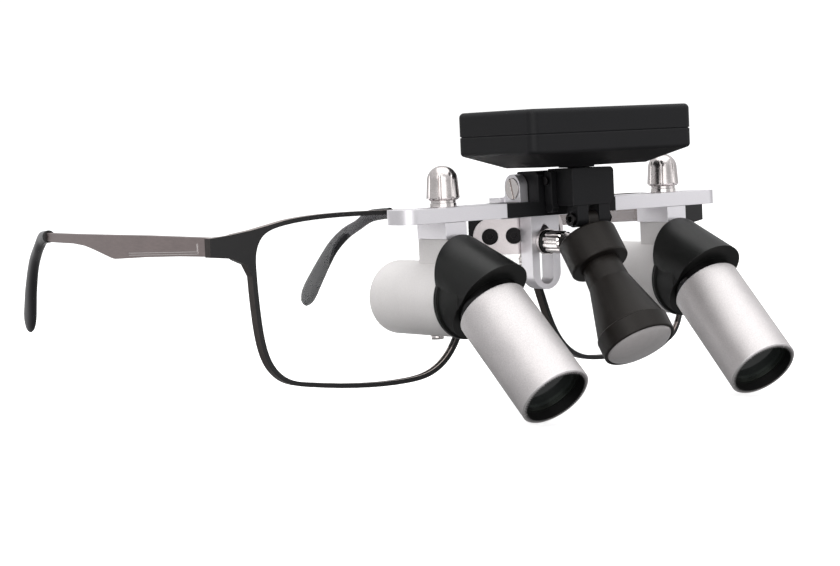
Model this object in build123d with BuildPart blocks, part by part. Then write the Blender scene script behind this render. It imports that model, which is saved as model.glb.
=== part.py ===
from build123d import *
import os
import math

# Dental loupes: a spectacle frame that carries a flip-up bar with two
# angled-prism telescopes, a tiltable LED lamp and a battery pod.
# Frame: +Z up, the wearer looks along -Y, the wearer's left is +X.
# Origin: midway between the two nose pads. All dimensions in mm.

os.makedirs("parts", exist_ok=True)

# ------------------------------------------------------------------ driving dimensions
ZB = 14.0                # height of the carrier bar's middle plane above the origin

# spectacle front
FRONT_Y = -10.0          # front face of the frame at the bridge
FRONT_R = 240.0          # plan radius of the wrapped front
RIM_DEPTH = 2.3
RIM_W = 1.05
LENS_T = 1.5
LENS_GROOVE = 0.4
END_X = 72.2             # half width over the end pieces
END_TOP, END_BOT = ZB - 3.1, ZB - 7.3
HINGE_X, HINGE_Y = 68.2, 3.0
KNUCKLE_R = 1.4
HINGE_PIN_R = 0.6

# temples
TEMPLE_T = 1.6
TEMPLE_Y0 = 3.4
TIP_Y0 = 117.0
TIP_T = 2.3

# height slide
SLOT_PLATE_Y = -25.8     # front face of the slotted plate
SLOT_PLATE_T = 4.2
SLOT_PLATE_HALF = 4.0
SLOT_HALF = 1.9
THUMB_Z = ZB - 8.0
THUMB_R = 2.55

# flip hinge and bar
PIVOT_Y, PIVOT_Z = -28.8, ZB + 4.6
PIVOT_R = 1.5
EAR_OUT, EAR_IN = 11.2, 9.0
BAR_Y0, BAR_Y1 = -35.25, -26.1
BAR_HALF_T = 1.6
BAR_END_X = 44.8
ROOT_R, ROOT_L = 17.6, 13.2   # where the silver arms plug into the black hinge block, right and left
BLOCK_X = 8.8
BLOCK_TOP = ZB + 8.3

# telescopes
IPD = 63.0
KNOB_Y = -30.75
TOE = 3.9                # convergence of each telescope, degrees
TUBE_R = 7.94
EYE_R = 8.25             # eyepiece tube
AXIS_Z = ZB - 18.4       # eyepiece axis
REAR = 19.2             # eyepiece rear behind the swivel axis
FLANGE = 5.75            # prism housing's rear face, ahead of the swivel axis
ELBOW = 13.15            # elbow point ahead of the swivel axis
DECL = 42.7              # declination of the objective barrel
S_CUT, S_TOP, S_END = 0.8, 2.55, 28.56
KNOB_R = 3.66

# lamp
LAMP_DECL = 54.0
LAMP_PIV_Y, LAMP_PIV_Z = -41.8, ZB - 2.6

# battery pod
POD_HX, POD_HY = 22.6, 13.8
POD_Y = -38.1
POD_Z0, POD_SPLIT, POD_Z1 = ZB + 12.39, ZB + 16.4, ZB + 21.9
POD_FLAT_Z = ZB + 9.25


def save(piece, name):
    piece.part.label = name
    export_step(piece.part, "parts/" + name + ".step")


def front_y(x):
    return FRONT_Y + FRONT_R - math.sqrt(FRONT_R ** 2 - x * x)


# ------------------------------------------------------------------ spectacle front
# lens opening of the wearer's right eye, seen from the front: (x, z)
OPENING = [(-14.5, -0.45), (-24.0, -0.2), (-33.4, -0.05), (-42.1, 0.0), (-50.6, -0.4),
           (-56.5, -1.3), (-60.4, -3.05), (-62.0, -5.9), (-62.4, -10.5), (-62.15, -17.0),
           (-61.7, -23.0), (-60.9, -28.3), (-59.4, -32.3), (-56.6, -35.2), (-51.5, -36.6),
           (-44.0, -37.5), (-35.0, -38.0), (-28.0, -37.8), (-22.7, -36.9), (-18.7, -34.7),
           (-15.7, -31.3), (-13.5, -27.0), (-11.3, -21.0), (-9.3, -15.0), (-7.9, -9.5),
           (-7.5, -5.6), (-8.6, -2.5), (-11.0, -0.95)]


def grown(points, d):
    """Outline moved outward by d along its normals."""
    out = []
    n = len(points)
    for i in range(n):
        (xa, za), (xb, zb) = points[i - 1], points[(i + 1) % n]
        tx, tz = xb - xa, zb - za
        length = math.hypot(tx, tz)
        nx, nz = tz / length, -tx / length
        out.append((points[i][0] - nx * d, points[i][1] - nz * d))
    return out


def outline(d, side):
    pts = grown(OPENING, -d) if d else list(OPENING)
    return [(x if side < 0 else -x, z + ZB) for x, z in pts]


def area(pts):
    return 0.5 * sum(pts[i - 1][0] * pts[i][1] - pts[i][0] * pts[i - 1][1] for i in range(len(pts)))


if abs(area(grown(OPENING, 1.0))) < abs(area(OPENING)):
    SIGN = 1
else:
    SIGN = -1


def rim_outline(d, side):
    pts = grown(OPENING, -SIGN * d) if d else list(OPENING)
    return [(x if side < 0 else -x, z + ZB) for x, z in pts]


with BuildPart() as front_slab:
    with BuildSketch(Plane.XY.offset(ZB - 42)) as slab_sk:
        with Locations((0, FRONT_Y + FRONT_R)):
            Circle(FRONT_R)
            Circle(FRONT_R - RIM_DEPTH, mode=Mode.SUBTRACT)
        with Locations((0, FRONT_Y + 8)):
            Rectangle(150, 17, mode=Mode.INTERSECT)
    extrude(amount=48)

with BuildPart() as lens_slab:
    with BuildSketch(Plane.XY.offset(ZB - 42)) as lens_slab_sk:
        with Locations((0, FRONT_Y + FRONT_R)):
            Circle(FRONT_R - 0.4)
            Circle(FRONT_R - 0.4 - LENS_T, mode=Mode.SUBTRACT)
        with Locations((0, FRONT_Y + 8)):
            Rectangle(150, 17, mode=Mode.INTERSECT)
    extrude(amount=48)


def make_lens(side):
    with BuildPart() as lens:
        with BuildSketch(Plane.XZ.offset(20)):
            with BuildLine():
                Spline(*rim_outline(LENS_GROOVE, side), periodic=True)
            make_face()
        extrude(amount=-30)
        add(lens_slab.part, mode=Mode.INTERSECT)
    return lens


lens_right = make_lens(-1)
lens_left = make_lens(1)

with BuildPart() as frame_front:
    with BuildSketch(Plane.XZ.offset(20)) as front_sk:
        for side in (-1, 1):
            with BuildLine():
                Spline(*rim_outline(RIM_W, side), periodic=True)
            make_face()
            # end piece reaching out from the rim's upper outer corner
            with BuildLine():
                Polyline((side * 57.0, ZB - 0.35), (side * 63.0, ZB - 1.75), (side * 68.0, ZB - 2.6),
                         (side * END_X, END_TOP), (side * END_X, END_BOT), (side * 67.5, END_BOT - 0.5),
                         (side * 64.6, END_BOT - 2.0), (side * 63.3, END_BOT - 5.0),
                         (side * 61.0, END_BOT - 5.0), (side * 57.0, ZB - 2.0), close=True)
            make_face()
        # bridge between the rims
        with BuildLine():
            Polyline((-9.5, ZB + 0.35), (9.5, ZB + 0.35), (8.2, ZB - 6.2), (4.6, ZB - 4.6), (0, ZB - 4.1),
                     (-4.6, ZB - 4.6), (-8.2, ZB - 6.2), close=True)
        make_face()
        for side in (-1, 1):
            with BuildLine():
                Spline(*rim_outline(0, side), periodic=True)
            make_face(mode=Mode.SUBTRACT)
    extrude(amount=-30)
    add(front_slab.part, mode=Mode.INTERSECT)
    # end pieces wrap back to the hinges
    for side in (-1, 1):
        with BuildSketch(Plane.XY.offset(END_BOT)):
            with BuildLine():
                Polyline((side * 64.5, front_y(64.5) + 0.3), (side * 68.0, front_y(68.0) + 0.3),
                         (side * (END_X - 0.1), front_y(72.0) + 0.3), (side * (END_X - 0.1), 2.7), (side * 70.4, 2.7),
                         (side * 69.6, 1.4), (side * 66.9, 1.4), close=True)
            make_face()
        extrude(amount=END_TOP - END_BOT)
        # pocket round the hinge
        with BuildSketch(Plane.XY.offset(END_BOT - 1)):
            with Locations((side * HINGE_X, HINGE_Y)):
                Circle(1.75)
        extrude(amount=END_TOP - END_BOT + 2, mode=Mode.SUBTRACT)
        # outer hinge knuckles, above and below the temple's knuckle
        for z0 in (END_BOT + 0.35, END_TOP - 1.55):
            with BuildSketch(Plane.XY.offset(z0)):
                with Locations((side * HINGE_X, HINGE_Y)):
                    Circle(KNUCKLE_R)
                with Locations((side * HINGE_X, (HINGE_Y + 1.0) / 2)):
                    Rectangle(2 * KNUCKLE_R, HINGE_Y - 1.0)
                with Locations((side * HINGE_X, HINGE_Y)):
                    Circle(HINGE_PIN_R, mode=Mode.SUBTRACT)
            extrude(amount=1.2)
    add(lens_right.part, mode=Mode.SUBTRACT)
    add(lens_left.part, mode=Mode.SUBTRACT)

save(frame_front, "frame_front")
save(lens_right, "lens_right")
save(lens_left, "lens_left")

# hinge screws, one pair
with BuildPart() as hinge_screws:
    for side in (-1, 1):
        with BuildSketch(Plane.XY.offset(END_BOT + 0.35)):
            with Locations((side * HINGE_X, HINGE_Y)):
                Circle(HINGE_PIN_R)
        extrude(amount=END_TOP - 0.35 - END_BOT - 0.35)
        with BuildSketch(Plane.XY.offset(END_TOP - 0.35)):
            with Locations((side * HINGE_X, HINGE_Y)):
                Circle(1.15)
        extrude(amount=0.5)
save(hinge_screws, "hinge_screws")

# nose pad arms: bent wires from the nasal rims to the pad boxes
PAD_X, PAD_Y, PAD_Z = 9.2, 0.8, 0.0


def make_pad_arms():
    with BuildPart() as arms:
        for side in (-1, 1):
            with BuildLine() as wire:
                Spline((side * 7.4, -7.5, 5.2), (side * 8.3, -4.9, 5.3), (side * 10.4, -2.6, 4.2),
                       (side * 11.4, -0.9, 2.0), (side * 11.5, 0.2, 0.2),
                       tangents=((side * 0.5, 2.39, 0.2), (0, 0.4, -1.0)))
            with BuildSketch(Plane(origin=(side * 7.4, -7.5, 5.2), z_dir=(side * 0.5, 2.39, 0.2))):
                Circle(0.45)
            sweep(path=wire.line)
            # pad box
            with BuildSketch(Plane(origin=(side * 12.2, 0.3, 0.0), z_dir=(-side, 0, 0))):
                Circle(1.1)
            extrude(amount=1.2)
    return arms


nose_pad_arms = make_pad_arms()
save(nose_pad_arms, "nose_pad_arms")


def make_pad(side):
    # oval silicone pad, tilted to the side of the nose
    tilt = math.radians(24)
    n = Vector(-side * math.cos(tilt), math.sin(math.radians(14)), -0.10).normalized()
    up = Vector(-side * -0.30, -0.10, 1.0)
    xd = n.cross(up).normalized()
    with BuildPart() as pad:
        with BuildSketch(Plane(origin=(side * 10.3, 0.3, 0.0), x_dir=xd, z_dir=n)):
            Ellipse(3.6, 6.6)
        extrude(amount=1.8)
        fillet(pad.edges(), 0.6)
    return pad


nose_pad_right = make_pad(-1)
nose_pad_left = make_pad(1)
save(nose_pad_right, "nose_pad_right")
save(nose_pad_left, "nose_pad_left")


# ------------------------------------------------------------------ temples
def temple_x(y):
    """Plan line of a temple's outer face: half width at distance y behind the front."""
    t = y
    return 72.0 - 0.0995 * t - 0.00000 * t * t - 0.0000032 * max(0.0, t - 20.0) ** 3


def plan_band(side, y0, y1, thickness, steps, name_plane):
    outer = []
    inner = []
    for i in range(steps + 1):
        y = y0 + (y1 - y0) * i / steps
        x = temple_x(y)
        outer.append((side * x, y))
        inner.append((side * (x - thickness), y))
    return outer, inner


# side profile of a temple: tall front part, a swept notch, then a slim rear part
with BuildPart() as temple_profile:
    with BuildSketch(Plane.YZ.offset(-90)):
        with BuildLine():
            Polyline((TEMPLE_Y0, ZB - 2.95), (40.0, ZB - 3.1), (TIP_Y0 + 14.0, ZB - 4.15))
            Line((TIP_Y0 + 14.0, ZB - 4.15), (TIP_Y0 + 14.0, ZB - 5.6))
            Polyline((TIP_Y0 + 14.0, ZB - 5.6), (TIP_Y0, ZB - 6.4), (95.0, ZB - 6.2), (86.0, ZB - 6.5))
            Spline((86.0, ZB - 6.5), (75.0, ZB - 7.7), (66.0, ZB - 8.9), (61.0, ZB - 9.2),
                   tangents=((-1, -0.08), (-1, 0.06)))
            Polyline((61.0, ZB - 9.2), (40.0, ZB - 8.2), (20.0, ZB - 7.5), (TEMPLE_Y0, ZB - 7.15))
            Line((TEMPLE_Y0, ZB - 7.15), (TEMPLE_Y0, ZB - 2.95))
        make_face()
    extrude(amount=180)


def make_temple(side):
    with BuildPart() as t:
        outer, inner = plan_band(side, TEMPLE_Y0, TIP_Y0 + 14.0, TEMPLE_T, 6, None)
        with BuildSketch(Plane.XY.offset(ZB - 14)):
            with BuildLine():
                Spline(*outer)
                Line(outer[-1], inner[-1])
                Spline(*inner[::-1])
                Line(inner[0], outer[0])
            make_face()
        extrude(amount=16)
        add(temple_profile.part, mode=Mode.INTERSECT)
        # hinge knuckle and its web
        z0, z1 = END_BOT + 1.65, END_TOP - 1.65
        with BuildSketch(Plane.XY.offset(z0)):
            with Locations((side * HINGE_X, HINGE_Y)):
                Circle(KNUCKLE_R)
            with BuildLine():
                Polyline((side * (HINGE_X - KNUCKLE_R), HINGE_Y), (side * HINGE_X, HINGE_Y),
                         (side * (temple_x(4.0) - TEMPLE_T + 0.4), 4.4), (side * (temple_x(8.0) - TEMPLE_T + 0.4), 9.0),
                         close=True)
            make_face()
            with Locations((side * HINGE_X, HINGE_Y)):
                Circle(HINGE_PIN_R + 0.05, mode=Mode.SUBTRACT)
        extrude(amount=z1 - z0)
    return t


temple_right = make_temple(-1)
temple_left = make_temple(1)


# side view of a temple tip: it bends down behind the ear and widens to a paddle
TIP_TOP = [(TIP_Y0, -3.35), (124.0, -3.55), (131.0, -4.5), (138.5, -8.2), (146.0, -13.4), (155.0, -21.8), (164.2, -30.4)]
TIP_BOT = [(158.6, -34.0), (150.5, -27.6), (142.0, -19.6), (136.0, -13.4), (130.5, -9.6), (124.0, -7.4), (TIP_Y0, -6.9)]


with BuildPart() as tip_profile:
    with BuildSketch(Plane.YZ.offset(-90)):
        with BuildLine():
            Spline(*[(y, z + ZB) for y, z in TIP_TOP])
            Spline((TIP_TOP[-1][0], TIP_TOP[-1][1] + ZB), (163.6, ZB - 33.2), (161.0, ZB - 34.6),
                   (TIP_BOT[0][0], TIP_BOT[0][1] + ZB))
            Spline(*[(y, z + ZB) for y, z in TIP_BOT])
            Line((TIP_BOT[-1][0], TIP_BOT[-1][1] + ZB), (TIP_TOP[0][0], TIP_TOP[0][1] + ZB))
        make_face()
    extrude(amount=180)


def make_tip(side, core):
    with BuildPart() as t:
        outer, inner = [], []
        for i in range(9):
            y = TIP_Y0 + (166.0 - TIP_Y0) * i / 8
            x = temple_x(y)
            outer.append((side * (x + 0.4), y))
            inner.append((side * (x + 0.4 - TIP_T), y))
        with BuildSketch(Plane.XY.offset(ZB - 40)):
            with BuildLine():
                Spline(*outer)
                Line(outer[-1], inner[-1])
                Spline(*inner[::-1])
                Line(inner[0], outer[0])
            make_face()
        extrude(amount=45)
        add(tip_profile.part, mode=Mode.INTERSECT)
        add(core.part, mode=Mode.SUBTRACT)
    return t


temple_tip_right = make_tip(-1, temple_right)
temple_tip_left = make_tip(1, temple_left)
save(temple_right, "temple_right")
save(temple_left, "temple_left")
save(temple_tip_right, "temple_tip_right")
save(temple_tip_left, "temple_tip_left")

# ------------------------------------------------------------------ bridge bracket
BR_FRONT = SLOT_PLATE_Y + SLOT_PLATE_T + 0.15      # front of the bracket's centre land
BR_T = 2.0
WING = math.radians(34)
WL = 10.2                                          # wing length
WX, WY = 4.6, BR_FRONT
wx1, wy1 = WX + WL * math.cos(WING), WY + WL * math.sin(WING)
XB = WX - BR_T * math.tan(WING / 2)                # half width of the centre land's back

with BuildPart() as bridge_plate:
    with BuildSketch(Plane.XY.offset(ZB - 10.6)):
        with BuildLine():
            Polyline((-WX, WY), (WX, WY), (wx1, wy1), (wx1 - BR_T * math.sin(WING), wy1 + BR_T * math.cos(WING)),
                     (XB, WY + BR_T), (-XB, WY + BR_T),
                     (-wx1 + BR_T * math.sin(WING), wy1 + BR_T * math.cos(WING)), (-wx1, wy1), close=True)
        make_face()
    extrude(amount=8.4)
    # round the wings' ends
    for side in (-1, 1):
        wing_plane = Plane(origin=(side * WX, WY, ZB - 6.4), x_dir=(side * math.cos(WING), math.sin(WING), 0),
                           z_dir=(side * math.sin(WING), -math.cos(WING), 0))
        with BuildSketch(wing_plane.offset(3)):
            with Locations((WL - 2.2, 0)):
                Rectangle(8.4, 12.0)
            with Locations((WL - 6.2, 0)):
                Rectangle(4.0, 8.4, mode=Mode.SUBTRACT)
            with Locations((WL - 4.2, 0)):
                Circle(4.2, mode=Mode.SUBTRACT)
        extrude(amount=-8, mode=Mode.SUBTRACT)
    # screw holes in the wings and the thumb screw's hole
    for side in (-1, 1):
        wing_plane = Plane(origin=(side * WX, WY, ZB - 6.4), x_dir=(side * math.cos(WING), math.sin(WING), 0),
                           z_dir=(side * math.sin(WING), -math.cos(WING), 0))
        for d in (0.9, 6.4):
            with BuildSketch(wing_plane.offset(2)):
                with Locations((d, 0)):
                    Circle(1.9)
            extrude(amount=-6, mode=Mode.SUBTRACT)
    with BuildSketch(Plane.XZ.offset(-BR_FRONT + 2)):
        with Locations((0, THUMB_Z)):
            Circle(1.5)
    extrude(amount=-8, mode=Mode.SUBTRACT)
save(bridge_plate, "bridge_plate")

# saddle block between the bracket and the spectacle bridge
with BuildPart() as bridge_saddle:
    yb = WY + BR_T
    with BuildSketch(Plane.XY.offset(ZB - 9.0)):
        with BuildLine():
            Polyline((-XB, yb), (XB, yb),
                     (XB + 10.6 * math.cos(WING), yb + 10.6 * math.sin(WING)), (8.2, FRONT_Y - 0.4), (6.8, FRONT_Y - 0.2),
                     (-6.8, FRONT_Y - 0.2), (-8.2, FRONT_Y - 0.4),
                     (-XB - 10.6 * math.cos(WING), yb + 10.6 * math.sin(WING)), close=True)
        make_face()
    extrude(amount=6.4)
    # tongue that meets the frame's bridge
    with BuildSketch(Plane.XY.offset(ZB - 4.4)):
        with Locations((0, FRONT_Y - 0.3)):
            Rectangle(9.0, 0.8)
    extrude(amount=1.8)
    add(front_slab.part, mode=Mode.SUBTRACT)
    with BuildSketch(Plane.XZ.offset(-yb + 3)):
        with Locations((0, THUMB_Z)):
            Circle(1.5)
    extrude(amount=-8, mode=Mode.SUBTRACT)
    for side in (-1, 1):
        wing_plane = Plane(origin=(side * WX, WY, ZB - 6.4), x_dir=(side * math.cos(WING), math.sin(WING), 0),
                           z_dir=(side * math.sin(WING), -math.cos(WING), 0))
        for d in (0.9, 6.4):
            with BuildSketch(wing_plane.offset(2)):
                with Locations((d, 0)):
                    Circle(0.8)
            extrude(amount=-7.5, mode=Mode.SUBTRACT)
save(bridge_saddle, "bridge_saddle")

# four socket screws in the wings
with BuildPart() as bridge_screws:
    for side in (-1, 1):
        wing_plane = Plane(origin=(side * WX, WY, ZB - 6.4), x_dir=(side * math.cos(WING), math.sin(WING), 0),
                           z_dir=(side * math.sin(WING), -math.cos(WING), 0))
        for d in (0.9, 6.4):
            with BuildSketch(wing_plane.offset(-0.5)):
                with Locations((d, 0)):
                    Circle(1.85)
                    RegularPolygon(0.8, 6, mode=Mode.SUBTRACT)
            extrude(amount=-0.8)
            with BuildSketch(wing_plane.offset(-1.3)):
                with Locations((d, 0)):
                    Circle(1.85)
            extrude(amount=-0.7)
            with BuildSketch(wing_plane.offset(-2.0)):
                with Locations((d, 0)):
                    Circle(0.8)
            extrude(amount=-3.0)
save(bridge_screws, "bridge_screws")

# thumb screw that clamps the slotted plate, with its washer and o-ring
with BuildPart() as height_knob:
    with BuildSketch(Plane.XZ.offset(-SLOT_PLATE_Y + 2.0)):
        with Locations((0, THUMB_Z)):
            Circle(THUMB_R)
            with PolarLocations(THUMB_R + 0.42, 10):
                Circle(0.62, mode=Mode.SUBTRACT)
    extrude(amount=5.4)
    chamfer(height_knob.edges().group_by(Axis.Y)[0], 0.35)
    with BuildSketch(Plane.XZ.offset(-SLOT_PLATE_Y - 9.0)):
        with Locations((0, THUMB_Z)):
            Circle(1.45)
    extrude(amount=11.0)
save(height_knob, "height_knob")

with BuildPart() as height_knob_washer:
    with BuildSketch(Plane.XZ.offset(-SLOT_PLATE_Y + 0.1)):
        with Locations((0, THUMB_Z)):
            Circle(2.95)
            Circle(1.45, mode=Mode.SUBTRACT)
    extrude(amount=0.9)
save(height_knob_washer, "height_knob_washer")

with BuildPart() as height_knob_oring:
    with BuildSketch(Plane.XZ.offset(-SLOT_PLATE_Y + 1.0)):
        with Locations((0, THUMB_Z)):
            Circle(2.75)
            Circle(1.45, mode=Mode.SUBTRACT)
    extrude(amount=1.0)
    fillet(height_knob_oring.edges().filter_by(GeomType.CIRCLE).group_by(SortBy.RADIUS)[-1], 0.4)
save(height_knob_oring, "height_knob_oring")

# ------------------------------------------------------------------ carrier: slotted plate and hinge ears
with BuildPart() as slot_plate:
    with BuildSketch(Plane.XZ.offset(-SLOT_PLATE_Y)):
        with BuildLine():
            Polyline((-SLOT_PLATE_HALF, ZB - 14.9), (-SLOT_PLATE_HALF, ZB - 2.2), (-EAR_OUT - 1.2, ZB - 2.2),
                     (-EAR_OUT - 1.2, ZB + 2.6), (-EAR_IN, ZB + 2.6), (-EAR_IN, ZB + 0.8), (EAR_IN, ZB + 0.8),
                     (EAR_IN, ZB + 2.6), (EAR_OUT + 1.2, ZB + 2.6), (EAR_OUT + 1.2, ZB - 2.2),
                     (SLOT_PLATE_HALF, ZB - 2.2), (SLOT_PLATE_HALF, ZB - 14.9))
            ThreePointArc((SLOT_PLATE_HALF, ZB - 14.9), (0, ZB - 18.9), (-SLOT_PLATE_HALF, ZB - 14.9))
        make_face()
        with Locations((0, ZB - 11.2)):
            SlotCenterToCenter(9.2, 2 * SLOT_HALF, rotation=90, mode=Mode.SUBTRACT)
        # relief hook at the top of the slot
        with BuildLine():
            Polyline((-1.2, ZB - 6.0), (-1.2, ZB - 4.9), (-0.6, ZB - 3.9), (0.3, ZB - 4.2), (1.2, ZB - 5.2), (1.2, ZB - 6.0), close=True)
        make_face(mode=Mode.SUBTRACT)
    extrude(amount=-SLOT_PLATE_T)
    # ears either side of the hinge block
    for side in (-1, 1):
        with BuildSketch(Plane.YZ.offset(side * EAR_IN)):
            with BuildLine():
                Line((PIVOT_Y - 2.8, ZB + 1.2), (PIVOT_Y - 2.8, ZB + 4.9))
                ThreePointArc((PIVOT_Y - 2.8, ZB + 4.9), (PIVOT_Y, ZB + 7.8), (PIVOT_Y + 2.8, ZB + 4.9))
                Line((PIVOT_Y + 2.8, ZB + 4.9), (PIVOT_Y + 2.8, ZB + 3.0))
                Line((PIVOT_Y + 2.8, ZB + 3.0), (SLOT_PLATE_Y + 1.5, ZB + 2.4))
                Line((SLOT_PLATE_Y + 1.5, ZB + 2.4), (SLOT_PLATE_Y + 1.5, ZB + 1.2))
                Line((SLOT_PLATE_Y + 1.5, ZB + 1.2), (PIVOT_Y - 2.8, ZB + 1.2))
            make_face()
            with Locations((PIVOT_Y, PIVOT_Z)):
                Circle(PIVOT_R + 0.05, mode=Mode.SUBTRACT)
        extrude(amount=side * (EAR_OUT - EAR_IN))
    # counterbores for the pivot screw heads
    for side in (-1, 1):
        with BuildSketch(Plane.YZ.offset(side * (EAR_OUT - 0.9))):
            with Locations((PIVOT_Y, PIVOT_Z)):
                Circle(2.45)
        extrude(amount=side * 2.0, mode=Mode.SUBTRACT)
save(slot_plate, "slot_plate")

# two slotted pivot screws
with BuildPart() as pivot_screws:
    for side in (-1, 1):
        with BuildSketch(Plane.YZ.offset(side * (EAR_OUT - 0.9))):
            with Locations((PIVOT_Y, PIVOT_Z)):
                Circle(2.35)
        extrude(amount=side * 1.05)
        with BuildSketch(Plane.YZ.offset(side * (EAR_OUT - 0.9))):
            with Locations((PIVOT_Y, PIVOT_Z)):
                Circle(PIVOT_R)
        extrude(amount=-side * 7.0)
        with BuildSketch(Plane.YZ.offset(side * (EAR_OUT - 0.35))):
            with Locations(Location((PIVOT_Y, PIVOT_Z), 75)):
                Rectangle(5.0, 0.55)
        extrude(amount=side * 1.0, mode=Mode.SUBTRACT)
save(pivot_screws, "pivot_screws")

# ------------------------------------------------------------------ flip assembly: hinge block, arms, lamp holder
SOCKET = 4.0
SOCKET_Y, SOCKET_W = -33.6, 2.2          # tongues sit in the bar's front, clear of the ears' relief
with BuildPart() as hinge_block:
    # bar-level body
    with BuildSketch(Plane.XY.offset(ZB - BAR_HALF_T)):
        with Locations(((ROOT_L - ROOT_R) / 2, (BAR_Y0 + BAR_Y1) / 2)):
            Rectangle(ROOT_L + ROOT_R, BAR_Y1 - BAR_Y0)
    extrude(amount=2 * BAR_HALF_T)
    # upper knuckle
    with BuildSketch(Plane.YZ.offset(-BLOCK_X)):
        with BuildLine():
            Polyline((BAR_Y0, ZB), (BAR_Y0, BLOCK_TOP - 0.8), (BAR_Y0 + 0.8, BLOCK_TOP), (-28.0, BLOCK_TOP),
                     (-26.4, BLOCK_TOP - 1.6), (-26.1, ZB + 1.0), (-26.1, ZB), close=True)
        make_face()
    extrude(amount=2 * BLOCK_X)
    # relief under the ears, about the pivot
    for side in (-1, 1):
        with BuildSketch(Plane.YZ.offset(side * (BLOCK_X))):
            with Locations((PIVOT_Y, PIVOT_Z)):
                Circle(4.9)
        extrude(amount=side * (EAR_OUT + 0.4 - BLOCK_X), mode=Mode.SUBTRACT)
    # pivot bore
    with BuildSketch(Plane.YZ.offset(-BLOCK_X - 1)):
        with Locations((PIVOT_Y, PIVOT_Z)):
            Circle(PIVOT_R + 0.05)
    extrude(amount=2 * BLOCK_X + 2, mode=Mode.SUBTRACT)
    # sockets for the arms' tongues
    for side in (-1, 1):
        root = ROOT_R if side < 0 else ROOT_L
        with BuildSketch(Plane.YZ.offset(side * (root + 0.5))):
            with Locations((SOCKET_Y, ZB)):
                Rectangle(SOCKET_W, 1.6)
        extrude(amount=-side * (SOCKET + 0.5), mode=Mode.SUBTRACT)
save(hinge_block, "hinge_block")


def make_arm(side):
    """Silver arm with a tongue in the hinge block and a slot for the stud of its telescope."""
    with BuildPart() as arm:
        x0, x1 = (ROOT_R if side < 0 else ROOT_L), BAR_END_X
        with BuildSketch(Plane.XY.offset(ZB - BAR_HALF_T)):
            with BuildLine():
                Polyline((side * (x1 - 3.4), BAR_Y0), (side * x0, BAR_Y0), (side * x0, BAR_Y1), (side * (x1 - 3.4), BAR_Y1))
                TangentArc((side * (x1 - 3.4), BAR_Y1), (side * x1, BAR_Y1 - 3.4), tangent=(side, 0))
                Line((side * x1, BAR_Y1 - 3.4), (side * x1, BAR_Y0 + 3.4))
                TangentArc((side * x1, BAR_Y0 + 3.4), (side * (x1 - 3.4), BAR_Y0), tangent=(0, -1))
            make_face()
            with Locations((side * IPD / 2, KNOB_Y)):
                SlotCenterToCenter(9.6, 3.4, mode=Mode.SUBTRACT)
        extrude(amount=2 * BAR_HALF_T)
        with BuildSketch(Plane.YZ.offset(side * x0)):
            with Locations((SOCKET_Y, ZB)):
                Rectangle(SOCKET_W, 1.6)
        extrude(amount=-side * SOCKET)
    return arm


arm_right = make_arm(-1)
arm_left = make_arm(1)
save(arm_right, "arm_right")
save(arm_left, "arm_left")

# lamp holder, bolted to the front of the hinge block
LH_X, LH_Y0, LH_Y1 = 5.85, -43.8, BAR_Y0
LH_Z0, LH_Z1 = ZB + 0.5, ZB + 8.7
with BuildPart() as lamp_holder:
    with BuildSketch(Plane.XZ.offset(-LH_Y1)):
        with BuildLine():
            Polyline((-LH_X, LH_Z0), (-LH_X, LH_Z1), (LH_X - 1.0, LH_Z1))
            TangentArc((LH_X - 1.0, LH_Z1), (LH_X, LH_Z1 - 1.0), tangent=(1, 0))
            Polyline((LH_X, LH_Z1 - 1.0), (LH_X, LH_Z0 + 1.6), (LH_X - 1.3, LH_Z0), (-LH_X, LH_Z0))
        make_face()
    extrude(amount=LH_Y1 - LH_Y0)
    # clevis ears under the block
    for s in (-1, 1):
        with BuildSketch(Plane.YZ.offset(s * 1.55)):
            with BuildLine():
                Line((LAMP_PIV_Y - 1.8, ZB + 1.0), (LAMP_PIV_Y - 1.8, LAMP_PIV_Z))
                ThreePointArc((LAMP_PIV_Y - 1.8, LAMP_PIV_Z), (LAMP_PIV_Y, LAMP_PIV_Z - 1.8), (LAMP_PIV_Y + 1.8, LAMP_PIV_Z))
                Line((LAMP_PIV_Y + 1.8, LAMP_PIV_Z), (LAMP_PIV_Y + 1.8, ZB + 1.0))
                Line((LAMP_PIV_Y + 1.8, ZB + 1.0), (LAMP_PIV_Y - 1.8, ZB + 1.0))
            make_face()
            with Locations((LAMP_PIV_Y, LAMP_PIV_Z)):
                Circle(0.9, mode=Mode.SUBTRACT)
        extrude(amount=s * 3.0)
    # neck hole on top for the pod's swivel post
    with BuildSketch(Plane.XY.offset(LH_Z1 - 5.0)):
        with Locations((0, POD_Y)):
            Circle(2.05)
    extrude(amount=8.0, mode=Mode.SUBTRACT)
    # latch pivot hole
    with BuildSketch(Plane.YZ.offset(-LH_X - 1)):
        with Locations((-36.6, LH_Z0 + 5.6)):
            Circle(0.62)
    extrude(amount=3.0, mode=Mode.SUBTRACT)
save(lamp_holder, "lamp_holder")

# release latch on the holder's side, on its own pin
LATCH_Y, LATCH_Z = -36.6, LH_Z0 + 5.6
with BuildPart() as latch:
    with BuildSketch(Plane.YZ.offset(-LH_X - 0.15)):
        with BuildLine():
            Polyline((-38.2, LH_Z1 - 0.6), (-38.2, LH_Z0 + 0.6), (-38.8, LH_Z0 - 0.4), (-38.2, LH_Z0 - 1.3), (-36.4, LH_Z0 - 1.5),
                     (-35.7, LH_Z0 - 0.7), (-36.2, LH_Z0 + 0.2), (-35.8, LH_Z0 + 1.2), (-35.8, LH_Z1 - 0.6), close=True)
        make_face()
        with Locations((LATCH_Y, LATCH_Z)):
            Circle(0.62, mode=Mode.SUBTRACT)
    extrude(amount=-1.4)
save(latch, "latch")

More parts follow.
